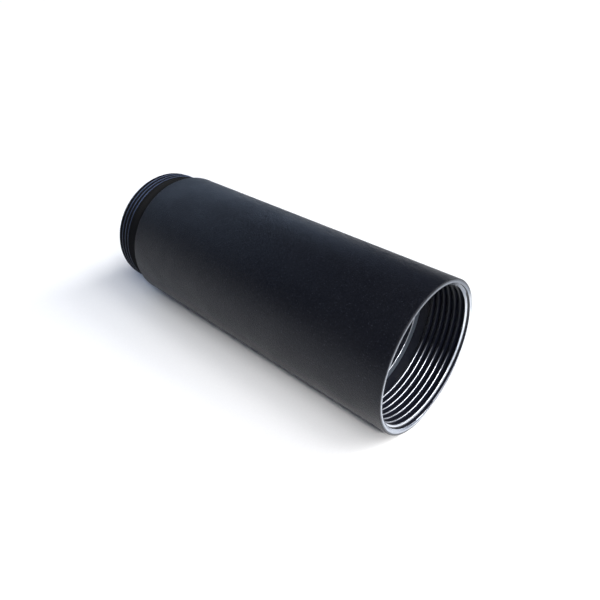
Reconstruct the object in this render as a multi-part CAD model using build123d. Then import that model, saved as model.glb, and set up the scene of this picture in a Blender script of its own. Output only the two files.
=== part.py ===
from build123d import *
import os
from math import radians, sqrt, tan

# Laser collimator: a two-inch barrel with a male M48 x 2 thread on its tail and a female one in its
# mouth, with the laser, its tilt and focus adjusters, its driver and its battery inside.
# Millimetres. The origin is on the tube's axis in the plane of the mouth's rim. +X runs out of the
# mouth, the way the beam leaves, and +Z is up, so every station inside the tube has a negative X.

# ---- Driving dimensions: barrel ----
BARREL_RADIUS = 25.4            # two-inch barrel
BODY_LENGTH = 119.1             # smooth cylinder, mouth rim to tail shoulder
TOTAL_LENGTH = 132.6            # mouth rim to the end of the tail thread
RIM_EDGE_BREAK = 0.3            # outer edge of the rim
TAIL_EDGE_RADIUS = 0.6          # rounded back corner of the body
BORE_RADIUS = 22.5              # main bore, behind the mouth's shoulder
NECK_BORE_RADIUS = 20.0         # bore inside the tail thread
BORE_EDGE_CHAMFER = 0.4         # at the tail's open end
LIP_CHAMFER = 0.2               # at the mouth end of the main bore
EDGE_CHAMFER = 0.4              # on the small turned parts

# ---- Driving dimensions: M48 x 2 threads, cut as rings at the thread's pitch ----
THREAD_PITCH = 2.0
THREAD_MAJOR_RADIUS = 24.0
FLANK_ANGLE = 30.0
FEMALE_DEPTH = 0.5413 * THREAD_PITCH
MALE_DEPTH = 0.6134 * THREAD_PITCH
FEMALE_CRESTS = 7
FEMALE_FIRST_CREST = -1.85
MALE_CRESTS = 5
MALE_FIRST_CREST = -124.0
MOUTH_CHAMFER = 0.2
RELIEF_RADIUS = 24.1            # plain bore behind the female thread
SHOULDER_STATION = -18.5        # where the main bore starts
SHOULDER_LENGTH = 0.6           # along X, of the cone from the relief in to the main bore
UNDERCUT_RADIUS = 22.5          # groove between the body and the male thread
UNDERCUT_WIDTH = 3.8
TAIL_CHAMFER = 0.4              # end of the tail thread

# ---- Driving dimensions: stack of fixed parts, from the mouth inwards ----
STACK_FRONT = -22.0             # front face of the lock ring
LOCK_RING_WIDTH = 3.0
TARGET_THICKNESS = 1.5
PLATE_THICKNESS = 7.5
FRAME_LENGTH = 43.0
SPACER_WIDTH = 4.0
BOARD_THICKNESS = 1.6
SLEEVE_LENGTH = 34.4
RUNNING_FIT = 0.05              # radial clearance where something turns or slides
PRESSED_FIT = 0.01              # radial clearance where something is pressed in
STACK_RADIUS = BORE_RADIUS - RUNNING_FIT
LOCK_RING_OPENING = 19.5
LOCK_SLOT_WIDTH = 2.5
LOCK_SLOT_DEPTH = 1.5
BEAM_HOLE_RADIUS = 1.5
KEY_HOLE_RADIUS = 2.3           # for the hex key that turns an adjuster
PLATE_HOLE_RADIUS = 4.0
WINDOW_RADIUS = 5.5
WINDOW_THICKNESS = 1.2
GASKET_SECTION = 0.4            # radius of the gasket's cord
SPACER_INNER_RADIUS = 20.5

# ---- Driving dimensions: gimbal and adjusters ----
PIVOT_STATION = -56.0           # both tilt axes cross here
TILT_ARM = 16.5                 # tilt axis to adjuster screw
FRAME_INNER_RADIUS = 20.0
FRAME_WALL = 3.0
FRAME_REAR_HOLE = 10.0
RING_OUTER_RADIUS = 18.5
RING_INNER_RADIUS = 14.5
RING_WIDTH = 8.0
PIN_RADIUS = 1.5
PIN_CLEARANCE = 0.5             # end of a pin to the face it stays short of
YAW_PIN_RECESS = 0.2            # outer end below the frame's outside
CONTACT_STATION = -46.0         # faces that the adjusters' balls bear on
SCREW_RADIUS = 2.0
SCREW_FRONT = -28.5
BALL_RADIUS = 1.5
BALL_CLEARANCE = 0.02
BALL_HOLD = 0.35                # how far the screw's tip passes the ball's middle
HEX_ACROSS_FLATS = 2.0
HEX_DEPTH = 2.5
TILT_SPRING_RADIUS = 2.0
TILT_SPRING_WIRE = 0.25         # radius of the wire
YAW_SPRING_TURNS = 7
PITCH_SPRING_TURNS = 3

# ---- Driving dimensions: laser ----
CELL_RADIUS = 12.5
CELL_REAR = -70.0
CELL_FRONT = -44.0
PIN_HOLE_END = 9.0              # how deep the pitch pins' holes go in to the cell
OVERLAP = 1.0                   # how far a shape runs past the one it is joined to or cut from
EAR_WIDTH = 7.0
FRONT_EAR_THICKNESS = 4.0
REAR_EAR_THICKNESS = 3.0
REAR_EAR_STATION = -69.0
MODULE_RADIUS = 6.0
MODULE_REAR = -72.0
MODULE_FRONT = -42.0
LENS_BORE_RADIUS = 4.55
LENS_BORE_END = -56.0
BEAM_BORE_RADIUS = 2.2
DIODE_SEAT = -70.0
DIODE_FLANGE_RADIUS = 2.8
DIODE_FLANGE_THICKNESS = 1.2
DIODE_CAP_RADIUS = 1.8
DIODE_CAP_LENGTH = 2.4
DIODE_PORT_RADIUS = 0.8         # light hole in the cap
DIODE_PORT_DEPTH = 0.4
DIODE_BOARD_RADIUS = 5.5
DIODE_BOARD_REAR = -75.4
DIODE_BOARD_THICKNESS = 0.8
LEAD_RADIUS = 0.22
LEAD_SPREAD = 1.27              # axis to each of the diode's three leads
LEAD_STUB = 0.6                 # lead beyond the board
LENS_CELL_REAR = -49.0
LENS_CELL_LIP = 0.6
LENS_OPENING_RADIUS = 2.6
FOCUS_NUT_REAR = -44.8
FOCUS_NUT_FRONT = -42.6
LENS_RADIUS = 3.25
LENS_THICKNESS = 2.0
LENS_CURVE_RADIUS = 5.0
FOCUS_SLOT_WIDTH = 1.0
FOCUS_SLOT_DEPTH = 0.8
FOCUS_SPRING_RADIUS = 3.6
FOCUS_SPRING_WIRE = 0.3
FOCUS_SPRING_TURNS = 5
GRUB_STATION = -64.0
GRUB_RADIUS = 1.5
GRUB_RECESS = 1.0               # outer end below the cell's outside
GRUB_ANGLES = [30.0, 150.0, 270.0]

# ---- Driving dimensions: power ----
BOARD_RADIUS = 22.0
CHIP_SIDE = 5.0
CHIP_THICKNESS = 1.2
CHIP_EDGE = -12.0               # Y of its outer edge
CHIP_LENGTH = 6.0
CAPACITOR_RADIUS = 2.5
CAPACITOR_HEIGHT = 3.0
CAPACITOR_Y = 9.0
CAPACITOR_Z = 6.0
POSITIVE_CONTACT_RADIUS = 3.5
BATTERY_RADIUS = 8.5
BATTERY_LENGTH = 34.5
TERMINAL_RADIUS = 2.9
TERMINAL_LENGTH = 1.4
WRAP_THICKNESS = 0.2
WRAP_MARGIN = 0.3               # bare can at each end of the wrap
CONTACT_THICKNESS = 0.5
SLEEVE_BORE_RADIUS = 8.8
SLEEVE_TUBE_RADIUS = 11.0
SLEEVE_FLANGE_WIDTH = 3.0
CONTACT_DISC_RADIUS = 12.0
CONTACT_DISC_FRONT = -122.0
CONTACT_DISC_THICKNESS = 2.0
CONTACT_SPRING_RADIUS = 5.0
CONTACT_SPRING_WIRE = 0.35
CONTACT_SPRING_TURNS = 3
CAP_REAR = -132.0
CAP_GAP = 0.05                  # cap's front face to the contact disc
CAP_SLOT_WIDTH = 2.6
CAP_SLOT_DEPTH = 2.0
CAP_GROOVE_STATION = -127.0
CAP_GROOVE_WIDTH = 1.8
CAP_SEAL_SECTION = 0.8          # radius of the O-ring's cord

# ---- Stations that follow from the stack ----
LOCK_RING_REAR = STACK_FRONT - LOCK_RING_WIDTH
TARGET_REAR = LOCK_RING_REAR - TARGET_THICKNESS
PLATE_REAR = TARGET_REAR - PLATE_THICKNESS
FRAME_REAR = PLATE_REAR - FRAME_LENGTH
BOARD_FRONT = FRAME_REAR - SPACER_WIDTH
BOARD_REAR = BOARD_FRONT - BOARD_THICKNESS
SLEEVE_REAR = BOARD_REAR - SLEEVE_LENGTH          # also the inner shoulder of the bore
TERMINAL_TIP = BOARD_REAR - CONTACT_THICKNESS
BATTERY_REAR = TERMINAL_TIP - BATTERY_LENGTH
FRAME_FLOOR = FRAME_REAR + FRAME_WALL
RING_REAR = PIVOT_STATION - RING_WIDTH / 2
RING_FRONT = PIVOT_STATION + RING_WIDTH / 2
BALL_STATION = CONTACT_STATION + RUNNING_FIT + BALL_RADIUS
SCREW_TIP = BALL_STATION - BALL_HOLD              # past the ball's middle, so the ball is captive
WINDOW_FRONT = TARGET_REAR - 2 * GASKET_SECTION
DIODE_REAR = DIODE_SEAT - DIODE_FLANGE_THICKNESS
LENS_SEAT = LENS_CELL_REAR + LENS_CELL_LIP
LENS_CELL_FRONT = FOCUS_NUT_REAR - RUNNING_FIT
CAN_FRONT = TERMINAL_TIP - TERMINAL_LENGTH

Y_SIDE = 0.0                    # angles round the tube, from +Y towards +Z
TOP = 90.0


# ---- Shapes that repeat ----
def rod(radius, low, high, y=0.0, z=0.0):
    """Cylinder along X between two stations."""
    upright = Cylinder(radius, high - low, align=(Align.CENTER, Align.CENTER, Align.MIN))
    return Pos(low, y, z) * Rot(0, 90, 0) * upright


def tube(outer, inner, low, high):
    """Ring about the tube's axis between two stations."""
    return rod(outer, low, high) - rod(inner, low, high)


def spoke(radius, inner, outer, station, angle):
    """Cylinder that points away from the tube's axis at one station."""
    upright = Cylinder(radius, outer - inner, align=(Align.CENTER, Align.CENTER, Align.MIN))
    return Pos(station, 0, 0) * Rot(angle - TOP, 0, 0) * Pos(0, 0, inner) * upright


def torus(section, radius, station):
    """O-ring about the tube's axis."""
    return Pos(station, 0, 0) * Rot(0, 90, 0) * Torus(radius, section)


def block(low, high, y_low, y_high, z_low, z_high):
    """Box between two stations."""
    box = Box(high - low, y_high - y_low, z_high - z_low, align=(Align.MIN, Align.MIN, Align.MIN))
    return Pos(low, y_low, z_low) * box


def coil(radius, wire, low, high, turns, y=0.0, z=0.0):
    """Compression spring along X whose wire stays between two stations."""
    height = high - low - 2 * wire
    path = Helix(pitch=height / turns, height=height, radius=radius)
    wire_end = Plane(origin=path @ 0, z_dir=path % 0) * Circle(wire)
    return Pos(low + wire, y, z) * Rot(0, 90, 0) * sweep(wire_end, path=path, is_frenet=True)


def turned(points):
    """Solid of revolution about X from a closed outline of (station, radius) points."""
    return revolve(make_face(Polyline(*points, close=True)), axis=Axis.X, revolution_arc=360)


def thread_points(first_crest, crests, crest_radius, root_radius, crest_flat):
    """Outline of a run of thread rings, from the mouth inwards: each crest between two flanks."""
    flank = abs(root_radius - crest_radius) * tan(radians(FLANK_ANGLE))
    points = []
    for number in range(crests):
        middle = first_crest - number * THREAD_PITCH
        points += [
            (middle + crest_flat / 2 + flank, root_radius),
            (middle + crest_flat / 2, crest_radius),
            (middle - crest_flat / 2, crest_radius),
            (middle - crest_flat / 2 - flank, root_radius),
        ]
    return points


# ---- Barrel and the fixed stack inside it ----
def housing_tube():
    female = thread_points(
        FEMALE_FIRST_CREST,
        FEMALE_CRESTS,
        THREAD_MAJOR_RADIUS - FEMALE_DEPTH,
        THREAD_MAJOR_RADIUS,
        THREAD_PITCH / 4,
    )
    male = thread_points(
        MALE_FIRST_CREST,
        MALE_CRESTS,
        THREAD_MAJOR_RADIUS,
        THREAD_MAJOR_RADIUS - MALE_DEPTH,
        THREAD_PITCH / 8,
    )
    relief_start = female[-1][0] - (RELIEF_RADIUS - THREAD_MAJOR_RADIUS)
    undercut_end = -BODY_LENGTH - UNDERCUT_WIDTH
    inside = [
        (0, THREAD_MAJOR_RADIUS + MOUTH_CHAMFER),
        (-MOUTH_CHAMFER, THREAD_MAJOR_RADIUS),
        *female,
        (relief_start, RELIEF_RADIUS),
        (SHOULDER_STATION + SHOULDER_LENGTH, RELIEF_RADIUS),
        (SHOULDER_STATION, BORE_RADIUS + LIP_CHAMFER),
        (SHOULDER_STATION - LIP_CHAMFER, BORE_RADIUS),
        (SLEEVE_REAR, BORE_RADIUS),
        (SLEEVE_REAR, NECK_BORE_RADIUS),
        (-TOTAL_LENGTH + BORE_EDGE_CHAMFER, NECK_BORE_RADIUS),
        (-TOTAL_LENGTH, NECK_BORE_RADIUS + BORE_EDGE_CHAMFER),
    ]
    outside = [
        (-TOTAL_LENGTH, THREAD_MAJOR_RADIUS - TAIL_CHAMFER),
        (-TOTAL_LENGTH + TAIL_CHAMFER, THREAD_MAJOR_RADIUS),
        *reversed(male[:-2]),
        (undercut_end, THREAD_MAJOR_RADIUS - MALE_DEPTH),
        (undercut_end, UNDERCUT_RADIUS),
        (-BODY_LENGTH, UNDERCUT_RADIUS),
        (-BODY_LENGTH, BARREL_RADIUS),
        (-RIM_EDGE_BREAK, BARREL_RADIUS),
        (0, BARREL_RADIUS - RIM_EDGE_BREAK),
    ]
    body = turned(inside + outside)
    corner = [
        edge
        for edge in body.edges().filter_by(GeomType.CIRCLE)
        if abs(edge.radius - BARREL_RADIUS) < 1e-6 and abs(edge.center().X + BODY_LENGTH) < 1e-6
    ]
    return fillet(corner, TAIL_EDGE_RADIUS)


def lock_ring():
    """Threaded ring that clamps the stack, with four slots for a pin spanner."""
    ring = turned([
        (LOCK_RING_REAR, LOCK_RING_OPENING),
        (LOCK_RING_REAR, STACK_RADIUS),
        (STACK_FRONT - EDGE_CHAMFER, STACK_RADIUS),
        (STACK_FRONT, STACK_RADIUS - EDGE_CHAMFER),
        (STACK_FRONT, LOCK_RING_OPENING + EDGE_CHAMFER),
        (STACK_FRONT - EDGE_CHAMFER, LOCK_RING_OPENING),
    ])
    half = LOCK_SLOT_WIDTH / 2
    for turn in range(2):
        bar = block(STACK_FRONT - LOCK_SLOT_DEPTH, STACK_FRONT, -half, half, -BORE_RADIUS, BORE_RADIUS)
        ring -= Rot(90 * turn, 0, 0) * bar
    return ring


def adjuster_places():
    """Y and Z of the yaw adjuster and of the pitch adjuster."""
    return [(TILT_ARM, 0.0), (0.0, TILT_ARM)]


def target_disc():
    """White return target with the beam's hole and two holes for the hex key."""
    disc = rod(STACK_RADIUS, TARGET_REAR, LOCK_RING_REAR)
    disc -= rod(BEAM_HOLE_RADIUS, TARGET_REAR, LOCK_RING_REAR)
    for y, z in adjuster_places():
        disc -= rod(KEY_HOLE_RADIUS, TARGET_REAR, LOCK_RING_REAR, y, z)
    return disc


def front_plate():
    """Aluminium plate that carries the window and the two adjuster screws."""
    plate = rod(STACK_RADIUS, PLATE_REAR, TARGET_REAR)
    plate -= rod(PLATE_HOLE_RADIUS, PLATE_REAR, TARGET_REAR)
    plate -= rod(WINDOW_RADIUS + RUNNING_FIT, WINDOW_FRONT - WINDOW_THICKNESS, TARGET_REAR)
    for y, z in adjuster_places():
        plate -= rod(SCREW_RADIUS + RUNNING_FIT, PLATE_REAR, TARGET_REAR, y, z)
    return plate


def exit_window():
    return rod(WINDOW_RADIUS, WINDOW_FRONT - WINDOW_THICKNESS, WINDOW_FRONT)


def window_gasket():
    return torus(GASKET_SECTION, WINDOW_RADIUS - GASKET_SECTION, WINDOW_FRONT + GASKET_SECTION)


def gimbal_frame():
    """Cup that holds the yaw pins; its floor backs both return springs."""
    cup = tube(STACK_RADIUS, FRAME_INNER_RADIUS, FRAME_FLOOR, PLATE_REAR)
    cup += tube(STACK_RADIUS, FRAME_REAR_HOLE, FRAME_REAR, FRAME_FLOOR)
    for side in (TOP, -TOP):
        cup -= spoke(PIN_RADIUS + PRESSED_FIT, FRAME_INNER_RADIUS - OVERLAP, BORE_RADIUS, PIVOT_STATION, side)
    return cup


# ---- Gimbal: yaw about Z, pitch about Y ----
def yaw_pivot_pins():
    inner = RING_INNER_RADIUS + PIN_CLEARANCE
    outer = BORE_RADIUS - YAW_PIN_RECESS
    return [spoke(PIN_RADIUS, inner, outer, PIVOT_STATION, side) for side in (TOP, -TOP)]


def gimbal_ring():
    """Ring that yaws on the frame's pins, with a boss for the yaw adjuster's ball."""
    boss_radius = (RING_OUTER_RADIUS - RING_INNER_RADIUS) / 2
    ring = tube(RING_OUTER_RADIUS, RING_INNER_RADIUS, RING_REAR, RING_FRONT)
    ring += rod(boss_radius, RING_FRONT - OVERLAP, CONTACT_STATION, TILT_ARM, 0)
    inner = RING_INNER_RADIUS - OVERLAP
    outer = RING_OUTER_RADIUS + OVERLAP
    for side in (TOP, -TOP):
        ring -= spoke(PIN_RADIUS + RUNNING_FIT, inner, outer, PIVOT_STATION, side)
    for side in (Y_SIDE, Y_SIDE + 180):
        ring -= spoke(PIN_RADIUS + PRESSED_FIT, inner, outer, PIVOT_STATION, side)
    return ring


def pitch_pivot_pins():
    inner = PIN_HOLE_END + PIN_CLEARANCE
    outer = RING_OUTER_RADIUS - PIN_CLEARANCE
    return [spoke(PIN_RADIUS, inner, outer, PIVOT_STATION, side) for side in (Y_SIDE, Y_SIDE + 180)]


def laser_cell():
    """Holder that pitches in the gimbal ring; its ears meet the pitch ball and its spring."""
    ear_top = RING_OUTER_RADIUS
    ear_root = CELL_RADIUS - 2 * OVERLAP
    cell = rod(CELL_RADIUS, CELL_REAR, CELL_FRONT)
    half = EAR_WIDTH / 2
    cell += block(CONTACT_STATION - FRONT_EAR_THICKNESS, CONTACT_STATION, -half, half, ear_root, ear_top)
    cell += block(REAR_EAR_STATION, REAR_EAR_STATION + REAR_EAR_THICKNESS, -half, half, ear_root, ear_top)
    cell -= rod(MODULE_RADIUS + PRESSED_FIT, CELL_REAR, CELL_FRONT)
    for side in (Y_SIDE, Y_SIDE + 180):
        cell -= spoke(PIN_RADIUS + RUNNING_FIT, PIN_HOLE_END, CELL_RADIUS + OVERLAP, PIVOT_STATION, side)
    inner = MODULE_RADIUS - OVERLAP
    outer = CELL_RADIUS + OVERLAP
    for angle in GRUB_ANGLES:
        cell -= spoke(GRUB_RADIUS + PRESSED_FIT, inner, outer, GRUB_STATION, angle)
    return cell


def adjuster_screw(y, z):
    """M4 x 0.5 screw with a hex socket in front and a captive ball in its tip."""
    screw = rod(SCREW_RADIUS, SCREW_TIP, SCREW_FRONT, y, z)
    screw -= Pos(BALL_STATION, y, z) * Sphere(BALL_RADIUS + BALL_CLEARANCE)
    hexagon = extrude(Plane.YZ * RegularPolygon(HEX_ACROSS_FLATS / 2, 6, major_radius=False), HEX_DEPTH)
    return screw - Pos(SCREW_FRONT - HEX_DEPTH, y, z) * hexagon


def adjuster_ball(y, z):
    return Pos(BALL_STATION, y, z) * Sphere(BALL_RADIUS)


def return_spring(low, y, z, turns):
    """Spring from the frame's floor to what it pushes on."""
    return coil(TILT_SPRING_RADIUS, TILT_SPRING_WIRE, FRAME_FLOOR, low, turns, y, z)


# ---- Laser module ----
def module_grub_screws():
    outer = CELL_RADIUS - GRUB_RECESS
    return [spoke(GRUB_RADIUS, MODULE_RADIUS, outer, GRUB_STATION, angle) for angle in GRUB_ANGLES]


def module_barrel():
    """Brass barrel: diode seat behind, beam bore, and the lens bore in front."""
    barrel = rod(MODULE_RADIUS, MODULE_REAR, MODULE_FRONT)
    barrel -= rod(DIODE_FLANGE_RADIUS + RUNNING_FIT, MODULE_REAR, DIODE_SEAT)
    barrel -= rod(BEAM_BORE_RADIUS, DIODE_SEAT, LENS_BORE_END)
    barrel -= rod(LENS_BORE_RADIUS, LENS_BORE_END, MODULE_FRONT)
    return barrel


def diode_can():
    """Laser diode package: flange, cap and the light hole in the cap."""
    cap_front = DIODE_SEAT + DIODE_CAP_LENGTH
    can = rod(DIODE_FLANGE_RADIUS, DIODE_REAR, DIODE_SEAT)
    can += rod(DIODE_CAP_RADIUS, DIODE_SEAT, cap_front)
    return can - rod(DIODE_PORT_RADIUS, cap_front - DIODE_PORT_DEPTH, cap_front)


def lead_places():
    return [(LEAD_SPREAD, 0.0), (-LEAD_SPREAD, 0.0), (0.0, -LEAD_SPREAD)]


def diode_leads():
    return [rod(LEAD_RADIUS, DIODE_BOARD_REAR - LEAD_STUB, DIODE_REAR, y, z) for y, z in lead_places()]


def diode_board():
    front = DIODE_BOARD_REAR + DIODE_BOARD_THICKNESS
    board = rod(DIODE_BOARD_RADIUS, DIODE_BOARD_REAR, front)
    for y, z in lead_places():
        board -= rod(LEAD_RADIUS + PRESSED_FIT, DIODE_BOARD_REAR, front, y, z)
    return board


def lens_cell():
    """Cup for the lens that slides in the barrel."""
    cell = rod(LENS_BORE_RADIUS - RUNNING_FIT, LENS_CELL_REAR, LENS_CELL_FRONT)
    cell -= rod(LENS_OPENING_RADIUS, LENS_CELL_REAR, LENS_SEAT)
    return cell - rod(LENS_RADIUS + RUNNING_FIT, LENS_SEAT, LENS_CELL_FRONT)


def collimating_lens():
    """Plano-convex glass: flat towards the diode, curved towards the mouth."""
    crown = LENS_SEAT + LENS_THICKNESS
    edge = crown - LENS_CURVE_RADIUS + sqrt(LENS_CURVE_RADIUS**2 - LENS_RADIUS**2)
    back = Polyline((crown, 0), (LENS_SEAT, 0), (LENS_SEAT, LENS_RADIUS), (edge, LENS_RADIUS))
    curve = RadiusArc((edge, LENS_RADIUS), (crown, 0), LENS_CURVE_RADIUS)
    return revolve(make_face(back + curve), axis=Axis.X, revolution_arc=360)


def focus_nut():
    """Threaded ring that drives the lens cell, slotted for a spanner."""
    nut = tube(LENS_BORE_RADIUS - RUNNING_FIT, LENS_OPENING_RADIUS, FOCUS_NUT_REAR, FOCUS_NUT_FRONT)
    half = FOCUS_SLOT_WIDTH / 2
    reach = LENS_BORE_RADIUS
    return nut - block(FOCUS_NUT_FRONT - FOCUS_SLOT_DEPTH, FOCUS_NUT_FRONT, -half, half, -reach, reach)


def focus_spring():
    return coil(FOCUS_SPRING_RADIUS, FOCUS_SPRING_WIRE, LENS_BORE_END, LENS_CELL_REAR, FOCUS_SPRING_TURNS)


# ---- Driver and power ----
def board_spacer():
    return tube(STACK_RADIUS, SPACER_INNER_RADIUS, BOARD_FRONT, FRAME_REAR)


def driver_board():
    return rod(BOARD_RADIUS, BOARD_REAR, BOARD_FRONT)


def regulator_chip():
    half = CHIP_SIDE / 2
    return block(BOARD_FRONT, BOARD_FRONT + CHIP_THICKNESS, CHIP_EDGE, CHIP_EDGE + CHIP_LENGTH, -half, half)


def board_capacitor():
    return rod(CAPACITOR_RADIUS, BOARD_FRONT, BOARD_FRONT + CAPACITOR_HEIGHT, CAPACITOR_Y, CAPACITOR_Z)


def positive_contact():
    return rod(POSITIVE_CONTACT_RADIUS, TERMINAL_TIP, BOARD_REAR)


def battery_sleeve():
    """Insulating spool that centres the battery in the bore."""
    spool = tube(SLEEVE_TUBE_RADIUS, SLEEVE_BORE_RADIUS, SLEEVE_REAR, BOARD_REAR)
    spool += tube(STACK_RADIUS, SLEEVE_BORE_RADIUS, SLEEVE_REAR, SLEEVE_REAR + SLEEVE_FLANGE_WIDTH)
    return spool + tube(STACK_RADIUS, SLEEVE_BORE_RADIUS, BOARD_REAR - SLEEVE_FLANGE_WIDTH, BOARD_REAR)


def battery_can():
    return rod(BATTERY_RADIUS - WRAP_THICKNESS, BATTERY_REAR, CAN_FRONT)


def battery_wrap():
    inner = BATTERY_RADIUS - WRAP_THICKNESS
    return tube(BATTERY_RADIUS, inner, BATTERY_REAR + WRAP_MARGIN, CAN_FRONT - WRAP_MARGIN)


def battery_terminal():
    return rod(TERMINAL_RADIUS, CAN_FRONT, TERMINAL_TIP)


def contact_spring():
    turns = CONTACT_SPRING_TURNS
    return coil(CONTACT_SPRING_RADIUS, CONTACT_SPRING_WIRE, CONTACT_DISC_FRONT, BATTERY_REAR, turns)


def contact_disc():
    return rod(CONTACT_DISC_RADIUS, CONTACT_DISC_FRONT - CONTACT_DISC_THICKNESS, CONTACT_DISC_FRONT)


def rear_cap():
    """Screw cap in the neck, with a coin slot behind and a groove for its seal."""
    cap_radius = NECK_BORE_RADIUS - RUNNING_FIT
    groove_radius = cap_radius - 2 * CAP_SEAL_SECTION
    groove_rear = CAP_GROOVE_STATION - CAP_GROOVE_WIDTH / 2
    groove_front = CAP_GROOVE_STATION + CAP_GROOVE_WIDTH / 2
    front = CONTACT_DISC_FRONT - CONTACT_DISC_THICKNESS - CAP_GAP
    cap = turned([
        (CAP_REAR, 0),
        (CAP_REAR, cap_radius - EDGE_CHAMFER),
        (CAP_REAR + EDGE_CHAMFER, cap_radius),
        (groove_rear, cap_radius),
        (groove_rear, groove_radius),
        (groove_front, groove_radius),
        (groove_front, cap_radius),
        (front - EDGE_CHAMFER, cap_radius),
        (front, cap_radius - EDGE_CHAMFER),
        (front, 0),
    ])
    slot_half = CAP_SLOT_WIDTH / 2
    reach = NECK_BORE_RADIUS
    return cap - block(CAP_REAR, CAP_REAR + CAP_SLOT_DEPTH, -slot_half, slot_half, -reach, reach)


def cap_seal():
    return torus(CAP_SEAL_SECTION, NECK_BORE_RADIUS - RUNNING_FIT - CAP_SEAL_SECTION, CAP_GROOVE_STATION)


def parts():
    (yaw_y, yaw_z), (pitch_y, pitch_z) = adjuster_places()
    return {
        "housing_tube": housing_tube(),
        "lock_ring": lock_ring(),
        "target_disc": target_disc(),
        "front_plate": front_plate(),
        "exit_window": exit_window(),
        "window_gasket": window_gasket(),
        "gimbal_frame": gimbal_frame(),
        "yaw_pivot_pins": yaw_pivot_pins(),
        "gimbal_ring": gimbal_ring(),
        "pitch_pivot_pins": pitch_pivot_pins(),
        "laser_cell": laser_cell(),
        "yaw_screw": adjuster_screw(yaw_y, yaw_z),
        "yaw_ball": adjuster_ball(yaw_y, yaw_z),
        "yaw_spring": return_spring(RING_REAR, yaw_y, yaw_z, YAW_SPRING_TURNS),
        "pitch_screw": adjuster_screw(pitch_y, pitch_z),
        "pitch_ball": adjuster_ball(pitch_y, pitch_z),
        "pitch_spring": return_spring(REAR_EAR_STATION, pitch_y, pitch_z, PITCH_SPRING_TURNS),
        "module_grub_screws": module_grub_screws(),
        "module_barrel": module_barrel(),
        "diode_can": diode_can(),
        "diode_leads": diode_leads(),
        "diode_board": diode_board(),
        "lens_cell": lens_cell(),
        "collimating_lens": collimating_lens(),
        "focus_nut": focus_nut(),
        "focus_spring": focus_spring(),
        "board_spacer": board_spacer(),
        "driver_board": driver_board(),
        "regulator_chip": regulator_chip(),
        "board_capacitor": board_capacitor(),
        "positive_contact": positive_contact(),
        "battery_sleeve": battery_sleeve(),
        "battery_can": battery_can(),
        "battery_wrap": battery_wrap(),
        "battery_terminal": battery_terminal(),
        "contact_spring": contact_spring(),
        "contact_disc": contact_disc(),
        "rear_cap": rear_cap(),
        "cap_seal": cap_seal(),
    }


os.makedirs("parts", exist_ok=True)
for name, shape in parts().items():
    solid = Compound(shape) if isinstance(shape, list) else shape
    export_step(solid, f"parts/{name}.step")
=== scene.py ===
import math

import bmesh
import bpy
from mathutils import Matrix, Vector


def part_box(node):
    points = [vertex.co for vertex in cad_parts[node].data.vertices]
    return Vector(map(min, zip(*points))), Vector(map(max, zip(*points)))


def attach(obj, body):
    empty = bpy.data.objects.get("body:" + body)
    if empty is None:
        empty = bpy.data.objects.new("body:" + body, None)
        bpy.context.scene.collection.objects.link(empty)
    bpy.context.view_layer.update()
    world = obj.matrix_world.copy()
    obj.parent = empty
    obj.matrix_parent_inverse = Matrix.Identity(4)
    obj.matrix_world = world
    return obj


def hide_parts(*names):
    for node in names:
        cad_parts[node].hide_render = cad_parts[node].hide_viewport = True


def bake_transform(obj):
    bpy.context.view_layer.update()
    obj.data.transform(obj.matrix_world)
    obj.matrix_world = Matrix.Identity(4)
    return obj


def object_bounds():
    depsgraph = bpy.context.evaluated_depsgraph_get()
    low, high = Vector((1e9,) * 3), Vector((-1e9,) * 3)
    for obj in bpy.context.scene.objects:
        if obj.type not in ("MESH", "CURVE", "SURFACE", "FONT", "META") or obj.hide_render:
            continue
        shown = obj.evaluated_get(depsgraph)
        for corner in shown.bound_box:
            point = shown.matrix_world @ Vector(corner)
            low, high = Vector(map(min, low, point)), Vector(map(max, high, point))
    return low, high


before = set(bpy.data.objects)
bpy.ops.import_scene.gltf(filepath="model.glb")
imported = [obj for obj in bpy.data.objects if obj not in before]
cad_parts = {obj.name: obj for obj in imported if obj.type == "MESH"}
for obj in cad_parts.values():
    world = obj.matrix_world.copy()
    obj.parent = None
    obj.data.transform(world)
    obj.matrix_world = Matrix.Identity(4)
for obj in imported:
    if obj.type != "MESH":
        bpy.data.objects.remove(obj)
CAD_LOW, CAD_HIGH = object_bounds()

# Laser collimator. Metres; +X runs along the tube and out of its open mouth, +Z is up, and the
# origin is on the tube's axis in the plane of the mouth's rim. Sizes are millimetres times MM.

MM = 0.001
SEGMENTS = 240                      # facets round the tube

# ---- Barrel ----
BODY_RADIUS = 25.4 * MM
BODY_END = -119.1 * MM
TAIL_END = -132.6 * MM
RIM_BREAK = 0.3 * MM                # outer edge of the rim
BURR_ROUNDING = 0.04 * MM           # inner edge of the rim
LIP_RADIUS = 0.18 * MM              # edge of the shoulder
CORNER_RADIUS = 0.6 * MM            # back corner of the body
BORE_RADIUS = 22.5 * MM
BORE_END = -117.0 * MM
NECK_RADIUS = 20.0 * MM
EDGE = 0.4 * MM                     # chamfer and fillet of the tail
RELIEF_START = -14.8 * MM
RELIEF_RADIUS = 24.1 * MM
SHOULDER = -18.5 * MM
SHOULDER_LENGTH = 0.6 * MM          # cone from the relief in to the bore
UNDERCUT_RADIUS = 22.5 * MM
UNDERCUT_END = -122.9 * MM

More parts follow.
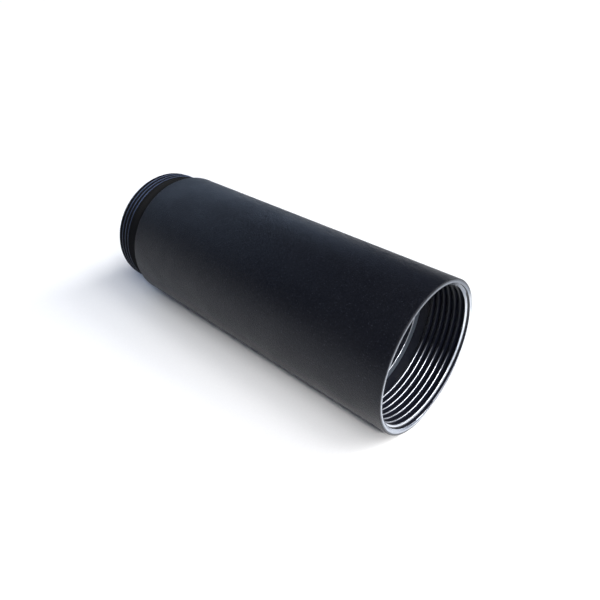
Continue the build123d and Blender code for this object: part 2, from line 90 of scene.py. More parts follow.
# ---- M48 x 2 threads, right-handed ----
PITCH = 2.0 * MM
MAJOR_RADIUS = 24.0 * MM
FLANK = math.radians(30)
FEMALE_DEPTH = 0.5413 * PITCH       # depths of a metric thread
MALE_DEPTH = 0.6134 * PITCH
CREST_ROUNDING = 0.2 * MM
FEMALE_FLAT = PITCH / 4             # width of a crest before its corners are rounded
MALE_FLAT = PITCH / 8 + CREST_ROUNDING
FEMALE_CREST = -1.35 * MM           # middle of one crest, where the thread crosses +Y
MALE_CREST = -124.97 * MM
MOUTH_CHAMFER = 0.15 * MM
TAIL_CHAMFER_RADIUS = 23.6 * MM

TILT_ARM = 16.5 * MM                # tube's axis to each adjuster
SEAT_GAP = 0.08 * MM                # keeps a leaning spring clear of its seat


# ---- Turned shapes ----
SHARP_TURNED = 28                   # degrees above which an edge is shaded sharp
SHARP_WIRE = 60
BLASTED, GROOVE, MACHINED, SATIN, SHOULDER_CONE, BRIGHT, CREST, RIM = range(8)


class Turning:
    """A surface turned about X, built ring by ring, with a finish for each face."""

    def __init__(self):
        self.points = []
        self.faces = []
        self.finishes = []

    def ring(self, x, radius):
        first = len(self.points)
        for number in range(SEGMENTS):
            angle = math.tau * number / SEGMENTS
            self.points.append((x, radius * math.cos(angle), radius * math.sin(angle)))
        return [first + number for number in range(SEGMENTS)]

    def face(self, corners, finish):
        self.faces.append(corners)
        self.finishes.append(finish)

    def bridge(self, one, other, finish):
        for number in range(SEGMENTS):
            after = (number + 1) % SEGMENTS
            self.face((one[number], one[after], other[after], other[number]), finish)

    def skin(self, ring, outline, finish):
        """Carries a ring on through a list of (x, radius) places; returns the last ring."""
        for x, radius in outline:
            following = self.ring(x, radius)
            self.bridge(ring, following, finish)
            ring = following
        return ring

    def thread(self, start, end, high, low, crest, rows, shape_at):
        """Helical band between two rings: its rows climb one pitch in a turn and stop at the rings.

        rows lists one pitch's (offset, height) from the crest's middle; high and low are the X of
        the start and end rings; shape_at gives a place's radius and finish."""
        margin = 0.02 * MM
        columns = []
        for number in range(SEGMENTS):
            angle = math.tau * number / SEGMENTS
            lead = crest + PITCH * number / SEGMENTS
            column = [(-math.inf, start[number], None)]
            first = (math.floor((lead - high) / PITCH) - 1) * len(rows)
            last = (math.ceil((lead - low) / PITCH) + 1) * len(rows)
            for row in range(first, last):
                offset, height = rows[row % len(rows)]
                x = lead - (row // len(rows)) * PITCH - offset
                if low + margin < x < high - margin:
                    radius, finish = shape_at(x, height, offset)
                    column.append((row, len(self.points), finish))
                    self.points.append((x, radius * math.cos(angle), radius * math.sin(angle)))
            column.append((math.inf, end[number], None))
            columns.append(column)
        for number, column in enumerate(columns):
            if number + 1 < SEGMENTS:
                beside = columns[number + 1]
            else:
                beside = [(row + len(rows), point, finish) for row, point, finish in columns[0]]
            self.stitch(column, beside)

    def stitch(self, left, right):
        """Closes the strip between two columns whose rows start and stop at different numbers."""
        a, b = 0, 0
        while a + 1 < len(left) or b + 1 < len(right):
            next_left = left[a + 1][0] if a + 1 < len(left) else math.inf
            next_right = right[b + 1][0] if b + 1 < len(right) else math.inf
            corners = [left[a], right[b]]
            step_left = a + 1 < len(left) and next_left <= next_right
            if b + 1 < len(right) and next_right <= next_left:
                b += 1
                corners.append(right[b])
            if step_left:
                a += 1
                corners.append(left[a])
            finishes = {corner[2] for corner in corners} - {None}
            self.face(tuple(corner[1] for corner in corners), min(finishes, default=MACHINED))

    def build(self, name, materials):
        mesh = bpy.data.meshes.new(name)
        mesh.from_pydata(self.points, [], self.faces)
        for finish, polygon in zip(self.finishes, mesh.polygons):
            polygon.material_index = finish
        for material in materials:
            mesh.materials.append(material)
        return finished(name, mesh, SHARP_TURNED)


def finished(name, mesh, sharp_degrees):
    """Puts a closed mesh in the scene with its faces out and its edges crisp."""
    work = bmesh.new()
    work.from_mesh(mesh)
    bmesh.ops.recalc_face_normals(work, faces=work.faces)
    work.to_mesh(mesh)
    work.free()
    mesh.shade_smooth()
    mesh.set_sharp_from_angle(angle=math.radians(sharp_degrees))
    piece = bpy.data.objects.new(name, mesh)
    bpy.context.scene.collection.objects.link(piece)
    return piece


def arc(x, radius, size, start, stop, steps=4):
    """Places on a quarter round: its centre, its size, and the angles it runs between."""
    places = []
    for step in range(steps + 1):
        angle = math.radians(start + (stop - start) * step / steps)
        places.append((x + size * math.cos(angle), radius + size * math.sin(angle)))
    return places


def rounded_height(depth):
    """Height at which a crest's rounded corner meets the flank."""
    return 1 - CREST_ROUNDING * math.cos(FLANK) / depth


def thread_rows(crest_flat, depth, corner_steps=3, flank_steps=3):
    """One pitch of a thread with rounded crests: (offset, height) rows from the crest's middle."""
    corner = crest_flat / 2
    flank_width = depth * math.tan(FLANK)
    half = []
    for step in range(corner_steps + 1):
        along = step / corner_steps
        before, after = (1 - along) ** 2, along**2
        offset = corner - CREST_ROUNDING * before + CREST_ROUNDING * math.sin(FLANK) * after
        half.append((offset, 1 - (1 - rounded_height(depth)) * after))
    top_offset, top_height = half[-1]
    for step in range(1, flank_steps + 1):
        share = step / flank_steps
        offset = top_offset + (corner + flank_width - top_offset) * share
        half.append((offset, top_height * (1 - share)))
    return half + [(PITCH - offset, height) for offset, height in reversed(half)]


# ---- Materials: small helpers ----
def new_material(name):
    material = bpy.data.materials.new(name)
    material.use_nodes = True
    tree = material.node_tree
    return material, tree, tree.nodes["Principled BSDF"]


def place_of(tree):
    """Where a point is in the part's own frame, in metres."""
    return tree.nodes.new("ShaderNodeTexCoord").outputs["Object"]


def separate(tree, vector):
    node = tree.nodes.new("ShaderNodeSeparateXYZ")
    tree.links.new(vector, node.inputs[0])
    return node.outputs


def combine(tree, x=None, y=None, z=None):
    node = tree.nodes.new("ShaderNodeCombineXYZ")
    for socket, value in zip(node.inputs, (x, y, z)):
        if value is not None:
            tree.links.new(value, socket)
    return node.outputs[0]


def sums(tree, operation, *values):
    """One step of arithmetic on sockets or numbers."""
    node = tree.nodes.new("ShaderNodeMath")
    node.operation = operation
    for socket, value in zip(node.inputs, values):
        if isinstance(value, (int, float)):
            socket.default_value = value
        else:
            tree.links.new(value, socket)
    return node.outputs[0]


def noise(tree, place, size, detail=3.0, roughness=0.6):
    """Noise whose grains are about size metres across."""
    node = tree.nodes.new("ShaderNodeTexNoise")
    node.inputs["Scale"].default_value = 1 / size
    node.inputs["Detail"].default_value = detail
    node.inputs["Roughness"].default_value = roughness
    tree.links.new(place, node.inputs["Vector"])
    return node.outputs["Fac"]


def spread(tree, value, low, high, from_low=0.3, from_high=0.7):
    """Maps a value to a range of numbers."""
    node = tree.nodes.new("ShaderNodeMapRange")
    tree.links.new(value, node.inputs["Value"])
    node.inputs["From Min"].default_value = from_low
    node.inputs["From Max"].default_value = from_high
    node.inputs["To Min"].default_value = low
    node.inputs["To Max"].default_value = high
    return node.outputs["Result"]


def mixed(tree, factor, one, other):
    """Colour between two colours; each is three numbers or a socket."""
    node = tree.nodes.new("ShaderNodeMix")
    node.data_type = "RGBA"
    tree.links.new(factor, node.inputs["Factor"])
    for socket, colour in ((node.inputs[6], one), (node.inputs[7], other)):
        if isinstance(colour, tuple):
            socket.default_value = (*colour, 1)
        else:
            tree.links.new(colour, socket)
    return node.outputs[2]


def shaded(tree, value, colours):
    """Colour that a noise picks between a dark and a light colour."""
    return mixed(tree, spread(tree, value, 0, 1), *colours)


def set_colour(tree, shader, colour):
    tree.links.new(colour, shader.inputs["Base Color"])


def set_roughness(tree, shader, value, limits):
    tree.links.new(spread(tree, value, *limits), shader.inputs["Roughness"])


def bump(tree, shader, height, depth):
    """Bump whose full height is depth metres."""
    node = tree.nodes.new("ShaderNodeBump")
    node.inputs["Distance"].default_value = depth
    tree.links.new(height, node.inputs["Height"])
    tree.links.new(node.outputs["Normal"], shader.inputs["Normal"])


def radius_of(tree, place):
    axes = separate(tree, place)
    squares = [sums(tree, "MULTIPLY", axes[name], axes[name]) for name in ("Y", "Z")]
    return sums(tree, "SQRT", sums(tree, "ADD", *squares))


TOOL_MARK = 0.12 * MM               # spacing of the rings that the lathe tool leaves


def lathe_marks(tree):
    """Fine rings of a turning tool, along X on a bore and along the radius on a face."""
    place = place_of(tree)
    along = sums(tree, "SUBTRACT", radius_of(tree, place), separate(tree, place)["X"])
    return noise(tree, combine(tree, along), TOOL_MARK, detail=2.0, roughness=0.7)


# ---- Materials of the barrel ----
BLAST_GRAIN = 0.5 * MM
BLAST_PIT = 0.13 * MM               # depth of the pits
PAINTED_GLINT_SIZE = 0.4 * MM
PAINTED_GLINT = (0.64, 0.74)              # the noise turns from black to a painted glint between these
CLOUD_SIZE = 14 * MM
TAIL_DULLING = 0.14                 # how much rougher the blasting is at the tail than at the rim


def blasted_black():
    """Bead-blasted black anodised aluminium: fine pits, faint painted glints and slow clouding."""
    material, tree, shader = new_material("blasted_black")
    place = place_of(tree)
    grain = noise(tree, place, BLAST_GRAIN, detail=3.0, roughness=0.7)
    pits = shaded(tree, grain, ((0.0004, 0.0005, 0.0012), (0.0046, 0.005, 0.0082)))
    # Painted glints: light specks in the base colour where the blasted surface would catch the light.
    painted_glint = spread(tree, noise(tree, place, PAINTED_GLINT_SIZE, detail=1.0), 0, 1, *PAINTED_GLINT)
    set_colour(tree, shader, mixed(tree, painted_glint, pits, (0.018, 0.02, 0.027)))
    toward_tail = sums(tree, "DIVIDE", separate(tree, place)["X"], BODY_END)
    dulling = sums(tree, "MULTIPLY", toward_tail, TAIL_DULLING)
    clouds = spread(tree, noise(tree, place, CLOUD_SIZE, detail=4.0), 0.34, 0.44)
    tree.links.new(sums(tree, "ADD", clouds, dulling), shader.inputs["Roughness"])
    shader.inputs["Specular IOR Level"].default_value = 0.24
    shader.inputs["Specular Tint"].default_value = (0.86, 0.9, 1.0, 1)
    bump(tree, shader, grain, BLAST_PIT)
    return material


def turned(name, colours, roughness, metallic=0.0, specular=0.5, depth=0.003 * MM):
    """Metal or anodising as the lathe tool left it, with fine rings."""
    material, tree, shader = new_material(name)
    marks = lathe_marks(tree)
    set_colour(tree, shader, shaded(tree, marks, colours))
    set_roughness(tree, shader, marks, roughness)
    shader.inputs["Metallic"].default_value = metallic
    shader.inputs["Specular IOR Level"].default_value = specular
    bump(tree, shader, marks, depth)
    return material


HIGHLIGHT_SIDE = {"Y": 0.82, "Z": -0.57}   # direction from the axis to the rim's brightest place, the middle of its painted highlight
HIGHLIGHT_PATCH = 5 * MM               # size of the patches in its edge
PATCH_REACH = 3 * MM                # how far they move it
HIGHLIGHT_FROM = 8 * MM                # along the highlight side, from dull to the full painted highlight
HIGHLIGHT_TO = 19 * MM
COATED_FROM = 24.55 * MM            # radii between which the bare metal gives way to the coating
COATED_TO = 24.75 * MM
RIM_SHADE_TOP = 20 * MM             # heights between which a painted shade on the bare metal fades out, dark at the top
RIM_SHADE_END = 4 * MM


def bare_rim_painted_light():
    """The rim's bare edge: a painted highlight on one side; on the other it is dull, part coated and
    darkened towards the top by painted shade.
    """
    material, tree, shader = new_material("bare_rim_painted_light")
    marks = lathe_marks(tree)
    place = place_of(tree)
    axes = separate(tree, place)
    sideways = [sums(tree, "MULTIPLY", axes[name], share) for name, share in HIGHLIGHT_SIDE.items()]
    patches = spread(tree, noise(tree, place, HIGHLIGHT_PATCH), -PATCH_REACH, PATCH_REACH)
    across = sums(tree, "ADD", sums(tree, "ADD", *sideways), patches)
    clear = shaded(tree, marks, ((0.36, 0.4, 0.47), (0.47, 0.51, 0.58)))
    # Painted shade: the bare metal turns darker towards the top.
    unshaded = spread(tree, axes["Z"], 0, 1, RIM_SHADE_TOP, RIM_SHADE_END)
    bare = mixed(tree, unshaded, (0.17, 0.19, 0.225), clear)
    coated = spread(tree, radius_of(tree, place), 0, 1, COATED_FROM, COATED_TO)
    dull = mixed(tree, coated, bare, (0.07, 0.08, 0.1))
    # Painted highlight: a bright copy of the bare metal on one side of the rim, where it catches the
    # light.
    bright = shaded(tree, marks, ((0.8, 0.83, 0.87), (0.9, 0.92, 0.95)))
    painted_highlight = spread(tree, across, 0, 1, HIGHLIGHT_FROM, HIGHLIGHT_TO)
    set_colour(tree, shader, mixed(tree, painted_highlight, dull, bright))
    set_roughness(tree, shader, marks, (0.22, 0.32))
    shader.inputs["Metallic"].default_value = 0.9
    bump(tree, shader, marks, 0.003 * MM)
    return material


def crest_painted_highlight(name, black, painted_highlight, start, end, roughness):
    """Thread crests that go from black at one height to a painted highlight at another."""
    material, tree, shader = new_material(name)
    marks = lathe_marks(tree)
    # Painted highlight: the crests turn from black to bright between two heights, where the light falls
    # on them.
    highlight_share = spread(tree, separate(tree, place_of(tree))["Z"], 0, 1, start, end)
    set_colour(tree, shader, mixed(tree, highlight_share, shaded(tree, marks, black), shaded(tree, marks, painted_highlight)))
    set_roughness(tree, shader, marks, roughness)
    shader.inputs["Metallic"].default_value = 0.9
    bump(tree, shader, marks, 0.0008 * MM)
    return material


def mouth_crest():
    black = ((0.012, 0.013, 0.015), (0.026, 0.028, 0.032))
    painted_highlight = ((0.5, 0.53, 0.6), (0.75, 0.78, 0.84))
    # Painted highlight on the crests low in the mouth.
    return crest_painted_highlight("mouth_crest", black, painted_highlight, -11 * MM, -19 * MM, (0.3, 0.36))


def tail_crest():
    black = ((0.01, 0.015, 0.03), (0.024, 0.033, 0.055))
    painted_highlight = ((0.075, 0.1, 0.18), (0.13, 0.17, 0.28))
    # Painted highlight on the crests at the top of the tail.
    return crest_painted_highlight("tail_crest", black, painted_highlight, 2 * MM, 20 * MM, (0.4, 0.5))


def barrel_materials():
    """One material for each finish, in the order that the finishes are numbered in."""
    # Painted shade: a darker, less shiny black for the tail thread's grooves, the undercut and the crests
    # beside it.
    groove = ((0.001, 0.0012, 0.002), (0.002, 0.0024, 0.0038))
    machined = ((0.003, 0.0038, 0.008), (0.007, 0.0086, 0.016))
    cone = ((0.22, 0.27, 0.34), (0.34, 0.385, 0.46))
    # Painted reflection: a bright metal for the first flank and the shoulder's lip, where they catch the
    # light.
    bright = ((0.62, 0.66, 0.72), (0.76, 0.8, 0.86))
    return [
        blasted_black(),
        turned("groove_painted_shade", groove, (0.55, 0.65), specular=0.1),
        turned("machined_black", machined, (0.3, 0.4), specular=0.25),
        tail_crest(),
        turned("shoulder_grey", cone, (0.3, 0.4), metallic=0.85),
        turned("painted_reflection_bright", bright, (0.32, 0.42), metallic=0.9),
        mouth_crest(),
        bare_rim_painted_light(),
    ]


# ---- Barrel ----
HIGHLIGHT_HEIGHT = 0.83                  # share of the height above which a crest's mouth side takes the crest's painted highlight
SATIN_HEIGHT = 0.88                 # the same on the tail, on both sides of a crest
FLANK_FOOT = 0.5                    # height where the painted reflection on the first flank starts
FIRST_CREST_END = -2.3 * MM         # the crest nearest the mouth has the painted reflection down to here
LAST_CREST = -124.6 * MM            # the tail's crests take the groove's painted shade from here to the undercut, beside the body's corner


def female_shape(x, height, offset):
    """Radius and finish of the mouth's thread at a station and a height on it."""
    thread = MAJOR_RADIUS - FEMALE_DEPTH * height
    entry = MAJOR_RADIUS + MOUTH_CHAMFER + x
    run_out = RELIEF_RADIUS - (x - RELIEF_START) / math.tan(FLANK)
    if entry > thread:
        finish = RIM
    # Painted reflection: the first flank gets the bright metal because it catches light that the deeper
    # flanks miss.
    elif x > FIRST_CREST_END and height > FLANK_FOOT and offset > PITCH / 2:
        finish = BRIGHT
    elif height > HIGHLIGHT_HEIGHT and offset > PITCH / 2:
        finish = CREST
    else:
        finish = MACHINED
    return max(thread, entry, run_out), finish


def male_shape(x, height, offset):
    """Radius and finish of the tail's thread at a station and a height on it."""
    thread = MAJOR_RADIUS - MALE_DEPTH * (1 - height)
    entry = TAIL_CHAMFER_RADIUS + (x - TAIL_END)
    run_out = UNDERCUT_RADIUS + (UNDERCUT_END - x)
    # Below a crest's top, and on the crests by the undercut, the groove's painted shade.
    finish = SATIN if height > SATIN_HEIGHT and x < LAST_CREST else GROOVE
    return min(thread, entry, run_out), finish


def add_mouth(turning, rim_outer):
    """Rim, thread, relief and shoulder; returns the ring where the bore starts."""
    chamfer_start = MAJOR_RADIUS + MOUTH_CHAMFER
    entry = [
        (0, chamfer_start + BURR_ROUNDING),
        (-BURR_ROUNDING, chamfer_start - BURR_ROUNDING),
        (-MOUTH_CHAMFER, MAJOR_RADIUS),
    ]
    ring = turning.skin(rim_outer, entry, RIM)
    relief = turning.ring(RELIEF_START, RELIEF_RADIUS)
    turning.thread(
        ring, relief, -MOUTH_CHAMFER, RELIEF_START, FEMALE_CREST,
        thread_rows(FEMALE_FLAT, FEMALE_DEPTH), female_shape,
    )
    ring = turning.skin(relief, [(SHOULDER + SHOULDER_LENGTH, RELIEF_RADIUS)], MACHINED)
    lip = arc(SHOULDER - LIP_RADIUS, BORE_RADIUS + LIP_RADIUS, LIP_RADIUS, 0, -90)
    ring = turning.skin(ring, lip[:1], SHOULDER_CONE)
    # The lip's rounded edge gets the bright metal as a painted highlight.
    return turning.skin(ring, lip[1:], BRIGHT)


def add_tail(turning, bore_start):
    """Bore, rear opening, thread and undercut; returns the ring at the foot of the body's end."""
    bore = [(BORE_END, BORE_RADIUS), (BORE_END, NECK_RADIUS), (TAIL_END + EDGE, NECK_RADIUS)]
    ring = turning.skin(bore_start, bore, MACHINED)
    ring = turning.skin(ring, [(TAIL_END, NECK_RADIUS + EDGE)], SATIN)
    tail = turning.skin(ring, [(TAIL_END, TAIL_CHAMFER_RADIUS)], MACHINED)
    undercut = turning.ring(UNDERCUT_END, UNDERCUT_RADIUS)
    turning.thread(
        undercut, tail, UNDERCUT_END, TAIL_END, MALE_CREST,
        thread_rows(MALE_FLAT, MALE_DEPTH), male_shape,
    )
    return turning.skin(undercut, arc(BODY_END - EDGE, UNDERCUT_RADIUS + EDGE, EDGE, 270, 360), GROOVE)


def barrel_tube():
    turning = Turning()
    rim_outer = turning.ring(0, BODY_RADIUS - RIM_BREAK)
    ring = add_tail(turning, add_mouth(turning, rim_outer))
    corner = arc(BODY_END + CORNER_RADIUS, BODY_RADIUS - CORNER_RADIUS, CORNER_RADIUS, 180, 90, 6)
    rim_break = arc(-RIM_BREAK, BODY_RADIUS - RIM_BREAK, RIM_BREAK, 90, 0)
    ring = turning.skin(ring, corner, BLASTED)
    ring = turning.skin(ring, rim_break[:-1], BLASTED)
    turning.bridge(ring, rim_outer, BLASTED)
    piece = turning.build("barrel_tube", barrel_materials())
    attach(piece, "housing")
    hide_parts("housing_tube")


# ---- Springs ----
WIRE_CORNERS = 12                   # facets round the wire
COIL_STEPS = 40                     # steps in a turn
CLOSED_TURNS = 0.9                  # turns at each end that lie almost shut
CLOSED_PITCH = 2.1                  # their pitch, in wire radii


def spring_mesh(name, radius, wire, rear, front, turns, y, z):
    """Compression spring with closed end coils, along X, whose wire stays between rear and front."""
    total = turns + 2 * CLOSED_TURNS
    count = round(total * COIL_STEPS)
    closed_rise = CLOSED_PITCH * wire * CLOSED_TURNS
    open_rise = front - rear - 2 * wire - 2 * closed_rise
    points, faces = [], []
    for step in range(count + 1):
        turn = total * step / count
        if turn < CLOSED_TURNS:
            rise = closed_rise * turn / CLOSED_TURNS
        elif turn > total - CLOSED_TURNS:
            rise = closed_rise + open_rise + closed_rise * (turn - total + CLOSED_TURNS) / CLOSED_TURNS
        else:
            rise = closed_rise + open_rise * (turn - CLOSED_TURNS) / turns
        angle = math.tau * turn
        for corner in range(WIRE_CORNERS):
            side = math.tau * corner / WIRE_CORNERS
            reach = radius + wire * math.cos(side)
            x = rear + wire + rise + wire * math.sin(side)
            points.append((x, y + reach * math.cos(angle), z + reach * math.sin(angle)))
    for step in range(count):
        low, high = step * WIRE_CORNERS, (step + 1) * WIRE_CORNERS
        for corner in range(WIRE_CORNERS):
            after = (corner + 1) % WIRE_CORNERS
            faces.append((low + corner, low + after, high + after, high + corner))
    faces.append(tuple(range(WIRE_CORNERS)))
    faces.append(tuple(count * WIRE_CORNERS + corner for corner in range(WIRE_CORNERS)))
    mesh = bpy.data.meshes.new(name)
    mesh.from_pydata(points, [], faces)
    return finished(name, mesh, SHARP_WIRE)


SPRINGS = [                         # node, radius, wire, open turns, y, z, body behind, body in front
    ("yaw_spring", 2.0 * MM, 0.25 * MM, 6, TILT_ARM, 0.0, "housing", "gimbal"),
    ("pitch_spring", 2.0 * MM, 0.25 * MM, 2, 0.0, TILT_ARM, "gimbal", "laser"),
    ("focus_spring", 3.6 * MM, 0.3 * MM, 4, 0.0, 0.0, "laser", "lens"),
    ("contact_spring", 5.0 * MM, 0.35 * MM, 3, 0.0, 0.0, "cap_contact", "housing"),
]


def springs(material):
    """Coil springs, each laid between the two ends of the CAD node it replaces.

    The table names a body behind and in front of each spring. The pitch spring stands on the frame's
    floor, but the housing shares no joint with the laser, so the gimbal is listed as its body behind."""
    for node, radius, wire, turns, y, z, rear_body, front_body in SPRINGS:
        low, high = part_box(node)
        rear, front = low.x + SEAT_GAP, high.x
        piece = spring_mesh(node + "_coil", radius, wire, rear, front, turns, y, z)
        piece.data.materials.append(material)
        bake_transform(piece)
        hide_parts(node)


# ---- Materials of the pieces inside ----
def metal(name, colours, roughness):
    """Bare turned metal."""
    return turned(name, colours, roughness, metallic=1.0, depth=0.002 * MM)


def grained(name, size, colours, roughness, metallic=0.0, depth=0.0, specular=0.5):
    """Material with an even grain: rubber, plastic, paper, blackened or plated steel."""
    material, tree, shader = new_material(name)
    grain = noise(tree, place_of(tree), size, detail=4.0, roughness=0.7)
    set_colour(tree, shader, shaded(tree, grain, colours))
    set_roughness(tree, shader, grain, roughness)
    shader.inputs["Metallic"].default_value = metallic
    shader.inputs["Specular IOR Level"].default_value = specular
    bump(tree, shader, grain, depth)
    return material


TARGET_SPACING = 4 * MM             # between the target's rings
TARGET_LINE = 0.3 * MM


def target_lines(tree, place):
    """1 on the target's rings and on its cross, outside the middle; 0 elsewhere."""
    axes = separate(tree, place)
    radius = radius_of(tree, place)
    half = TARGET_SPACING / 2
    across = sums(tree, "MODULO", sums(tree, "ADD", radius, half), TARGET_SPACING)
    from_ring = sums(tree, "ABSOLUTE", sums(tree, "SUBTRACT", across, half))
    from_cross = sums(tree, "MINIMUM", *(sums(tree, "ABSOLUTE", axes[name]) for name in ("Y", "Z")))
    nearest = sums(tree, "MINIMUM", from_ring, from_cross)
    on_line = sums(tree, "LESS_THAN", nearest, TARGET_LINE / 2)
    return sums(tree, "MULTIPLY", on_line, sums(tree, "GREATER_THAN", radius, half))


def target_white():
    """White enamel with a printed target: evenly spaced rings and a cross."""
    material, tree, shader = new_material("target_white")
    place = place_of(tree)
    speckle = noise(tree, place, 0.6 * MM)
    enamel = shaded(tree, speckle, ((0.72, 0.72, 0.7), (0.82, 0.82, 0.8)))
    set_colour(tree, shader, mixed(tree, target_lines(tree, place), enamel, (0.03, 0.03, 0.035)))
    set_roughness(tree, shader, speckle, (0.35, 0.5))
    bump(tree, shader, speckle, 0.01 * MM)
    return material


def glass(name, index, tint):
    material, tree, shader = new_material(name)
    smudges = noise(tree, place_of(tree), 2 * MM)
    set_colour(tree, shader, shaded(tree, smudges, (tint, (0.99, 0.99, 1.0))))
    set_roughness(tree, shader, smudges, (0.0, 0.06))
    shader.inputs["Transmission Weight"].default_value = 1.0
    shader.inputs["IOR"].default_value = index
    return material


TRACK_WIDTH = 0.22 * MM
TRACK_LENGTH = 8.5 * MM
TRACK_SPACING = 1.1 * MM
TRACK_STAGGER = 0.31                # share of its length by which every other track is moved


def board_green():
    """Circuit board: green mask over raised copper tracks."""
    material, tree, shader = new_material("board_green")
    place = place_of(tree)
    axes = separate(tree, place)
    tracks = tree.nodes.new("ShaderNodeTexBrick")
    tracks.offset = TRACK_STAGGER
    tracks.inputs["Scale"].default_value = 1.0
    tracks.inputs["Mortar Size"].default_value = TRACK_WIDTH
    tracks.inputs["Brick Width"].default_value = TRACK_LENGTH
    tracks.inputs["Row Height"].default_value = TRACK_SPACING
    tree.links.new(combine(tree, axes["Y"], axes["Z"]), tracks.inputs["Vector"])
    weave = noise(tree, place, 0.5 * MM)
    mask = shaded(tree, weave, ((0.01, 0.09, 0.03), (0.014, 0.12, 0.045)))
    set_colour(tree, shader, mixed(tree, tracks.outputs["Fac"], mask, (0.04, 0.24, 0.09)))
    set_roughness(tree, shader, weave, (0.25, 0.35))
    bump(tree, shader, tracks.outputs["Fac"], 0.03 * MM)
    return material


BAND_START = -92 * MM               # the wrap is pale from here to the positive end
CREASE_SIZE = 5 * MM
CREASE_SQUEEZE = 6.0                # creases run round the cell, so they are short along X


def battery_label():
    """Shrink wrap with a plain coloured sleeve, a pale band at the positive end and fine creases."""
    material, tree, shader = new_material("battery_label")
    x, y, z = separate(tree, place_of(tree))
    squeezed = combine(tree, sums(tree, "MULTIPLY", x, CREASE_SQUEEZE), y, z)
    creases = noise(tree, squeezed, CREASE_SIZE)
    sleeve = shaded(tree, creases, ((0.02, 0.09, 0.3), (0.03, 0.13, 0.38)))
    band = sums(tree, "GREATER_THAN", x, BAND_START)
    set_colour(tree, shader, mixed(tree, band, sleeve, (0.7, 0.7, 0.68)))
    set_roughness(tree, shader, creases, (0.22, 0.35))
    bump(tree, shader, creases, 0.03 * MM)
    return material


def turned_pieces():
    """Turned materials and the CAD nodes made of each."""
    satin_black = ((0.012, 0.012, 0.014), (0.028, 0.028, 0.032))
    aluminium = ((0.55, 0.56, 0.58), (0.7, 0.71, 0.73))
    brass = ((0.56, 0.38, 0.14), (0.76, 0.56, 0.25))
    return [
        (
            turned("satin_black", satin_black, (0.3, 0.42)),
            ["lock_ring", "front_plate", "gimbal_frame", "lens_cell", "rear_cap"],
        ),
        (metal("clear_aluminium", aluminium, (0.25, 0.38)), ["gimbal_ring", "laser_cell"]),
        (metal("brass_turned", brass, (0.2, 0.34)), ["module_barrel", "focus_nut", "contact_disc"]),
    ]


GRAINED_PIECES = [                  # name, grain, colours, roughness, metallic, bump depth, CAD nodes
    (
        "steel_dark", 0.3 * MM, ((0.03, 0.03, 0.034), (0.07, 0.07, 0.075)), (0.3, 0.45), 0.8, 0.004 * MM,
        ["yaw_screw", "pitch_screw", "module_grub_screws"],
    ),
    (
        "steel_bright", 0.5 * MM, ((0.6, 0.6, 0.61), (0.7, 0.7, 0.71)), (0.06, 0.14), 1.0, 0.001 * MM,
        ["yaw_ball", "pitch_ball", "yaw_pivot_pins", "pitch_pivot_pins"],
    ),
    (
        "seal_rubber", 0.25 * MM, ((0.01, 0.01, 0.01), (0.025, 0.025, 0.026)), (0.6, 0.8), 0.0, 0.02 * MM,
        ["window_gasket", "cap_seal"],
    ),
    (
        "acetal_white", 0.8 * MM, ((0.7, 0.69, 0.65), (0.8, 0.79, 0.75)), (0.4, 0.5), 0.0, 0.004 * MM,
        ["board_spacer", "battery_sleeve"],
    ),
    (
        "chip_black", 0.1 * MM, ((0.012, 0.012, 0.013), (0.03, 0.03, 0.031)), (0.5, 0.7), 0.0, 0.008 * MM,
        ["regulator_chip"],
    ),
    (
        "capacitor_can", 0.4 * MM, ((0.5, 0.5, 0.52), (0.64, 0.64, 0.66)), (0.25, 0.35), 1.0, 0.003 * MM,
        ["board_capacitor"],
    ),
    (
        "gold_contact", 0.3 * MM, ((0.72, 0.5, 0.18), (0.86, 0.64, 0.27)), (0.18, 0.3), 1.0, 0.002 * MM,
        ["positive_contact", "diode_can", "diode_leads"],
    ),
    (
        "battery_steel", 0.5 * MM, ((0.5, 0.49, 0.46), (0.62, 0.61, 0.58)), (0.18, 0.3), 1.0, 0.003 * MM,
        ["battery_can", "battery_terminal"],
    ),
]


def special_pieces():
    """Materials with a pattern or glass, and the CAD nodes made of each."""
    return [
        (target_white(), ["target_disc"]),
        (glass("window_glass", 1.5, (0.93, 0.96, 0.95)), ["exit_window"]),
        (glass("lens_glass", 1.6, (0.9, 0.93, 0.97)), ["collimating_lens"]),
        (board_green(), ["driver_board", "diode_board"]),
        (battery_label(), ["battery_wrap"]),
    ]


def paint_nodes():
    """Gives every CAD node that is shown its finish."""
    pieces = turned_pieces() + special_pieces()
    for *look, names in GRAINED_PIECES:
        pieces.append((grained(*look), names))
    for material, names in pieces:
        for name in names:
            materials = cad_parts[name].data.materials
            materials.clear()
            materials.append(material)


# ---- Stage ----
CAMERA_PLACE = Vector((59.3, -120.7, 106.3)) * MM
CAMERA_AZIMUTH = 42.9               # 0 looks along +Y, 90 along -X
CAMERA_ELEVATION = 28.4
CAMERA_LENS = 32.95
CAMERA_SHIFT = -1 / 12              # share of the picture's width
CAMERA_RANGE = (0.005, 20)          # nearest and farthest that it sees, in metres
FLOOR_REACH = 4.0                   # metres from the part to the floor's edge
FLOOR_GAP = 0.02 * MM


def camera():
    azimuth, elevation = math.radians(CAMERA_AZIMUTH), math.radians(CAMERA_ELEVATION)
    level = math.cos(elevation)
    back = Vector((math.sin(azimuth) * level, -math.cos(azimuth) * level, math.sin(elevation)))
    data = bpy.data.cameras.new("camera")
    data.lens = CAMERA_LENS
    data.shift_y = CAMERA_SHIFT
    data.clip_start, data.clip_end = CAMERA_RANGE
    view = bpy.data.objects.new("camera", data)
    view.location = CAMERA_PLACE
    view.rotation_mode = "QUATERNION"
    view.rotation_quaternion = (-back).to_track_quat("-Z", "Y")
    bpy.context.scene.collection.objects.link(view)
    bpy.context.scene.camera = view


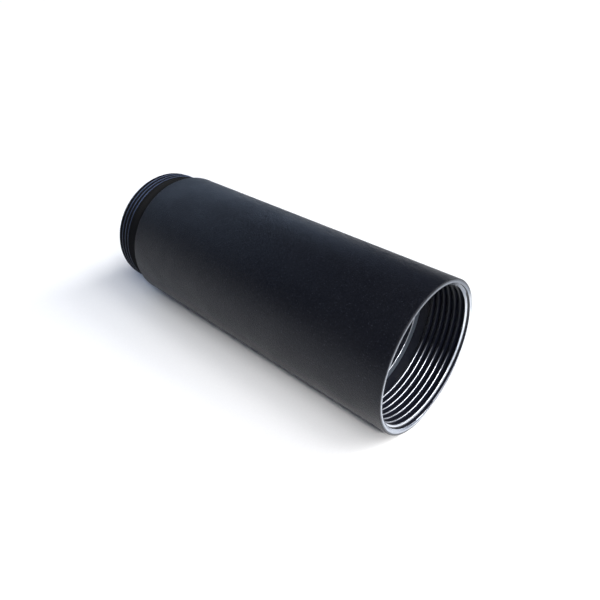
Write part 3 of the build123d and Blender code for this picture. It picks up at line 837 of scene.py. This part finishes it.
def floor():
    level = CAD_LOW.z - FLOOR_GAP
    sides = [(-1, -1), (1, -1), (1, 1), (-1, 1)]
    corners = [(FLOOR_REACH * x, FLOOR_REACH * y, level) for x, y in sides]
    mesh = bpy.data.meshes.new("floor")
    mesh.from_pydata(corners, [], [(0, 1, 2, 3)])
    sheet = bpy.data.objects.new("floor", mesh)
    bpy.context.scene.collection.objects.link(sheet)
    paper = ((0.88, 0.88, 0.88), (0.92, 0.92, 0.92))
    mesh.materials.append(grained("floor_paper", 0.4 * MM, paper, (0.85, 0.95), specular=0.0))


def lamp(name, kind, place, aim, power, colour):
    data = bpy.data.lights.new(name, kind)
    data.energy = power
    data.color = colour
    light = bpy.data.objects.new(name, data)
    light.location = place
    light.rotation_mode = "QUATERNION"
    light.rotation_quaternion = (Vector(aim) - Vector(place)).to_track_quat("-Z", "Y")
    bpy.context.scene.collection.objects.link(light)
    return data


WINDOW = [                          # panes of the soft key light: direction and strength
    ((0.63, -0.3, 0.72), 1.5),
    ((0.6, 0.1, 0.8), 1.3),
    ((0.49, 0.5, 0.71), 1.2),
    ((0.42, 0.78, 0.46), 0.7),
]
WINDOW_ANGLE = 24                   # degrees that each pane spans
WINDOW_COLOUR = (1.0, 0.99, 0.97)
SOFT_BOXES = [                      # name, place and sides in metres, power in watts
    ("back_strip", (-1.5, 0.85, 0.45), (1.7, 0.4), 5.0),
    ("left_fill", (-1.1, -0.1, 0.5), (0.9, 0.7), 2.0),
]
SOFT_BOX_COLOUR = (0.6, 0.76, 1.0)
SOFT_BOX_AIM = (-0.06, 0, 0)        # middle of the tube
POOL_PLACE = (0.55, -0.45, 0.55)    # spot that brightens the floor in front of the mouth
POOL_AIM = (0.03, -0.06, CAD_LOW.z)
POOL_COLOUR = (1.0, 0.98, 0.95)
POOL_POWER = 38
POOL_ANGLE = 13                     # degrees
POOL_SOFTNESS = 0.1
SKY_COLOUR = (0.55, 0.66, 1.0, 1)
SKY_STRENGTH = 0.16


def sky():
    world = bpy.data.worlds.new("studio")
    world.use_nodes = True
    background = world.node_tree.nodes["Background"]
    background.inputs["Color"].default_value = SKY_COLOUR
    background.inputs["Strength"].default_value = SKY_STRENGTH
    bpy.context.scene.world = world


def studio():
    for number, (direction, strength) in enumerate(WINDOW):
        pane = lamp(f"window_{number}", "SUN", direction, (0, 0, 0), strength, WINDOW_COLOUR)
        pane.angle = math.radians(WINDOW_ANGLE)
    for name, place, sides, power in SOFT_BOXES:
        box = lamp(name, "AREA", place, SOFT_BOX_AIM, power, SOFT_BOX_COLOUR)
        box.shape = "RECTANGLE"
        box.size, box.size_y = sides
    pool = lamp("pool", "SPOT", POOL_PLACE, POOL_AIM, POOL_POWER, POOL_COLOUR)
    pool.spot_size = math.radians(POOL_ANGLE)
    pool.spot_blend = 1.0
    pool.shadow_soft_size = POOL_SOFTNESS
    bpy.context.scene.view_settings.view_transform = "Standard"


camera()
floor()
sky()
studio()
barrel_tube()
springs(metal("steel_spring", ((0.4, 0.4, 0.4), (0.55, 0.55, 0.54)), (0.22, 0.34)))
paint_nodes()
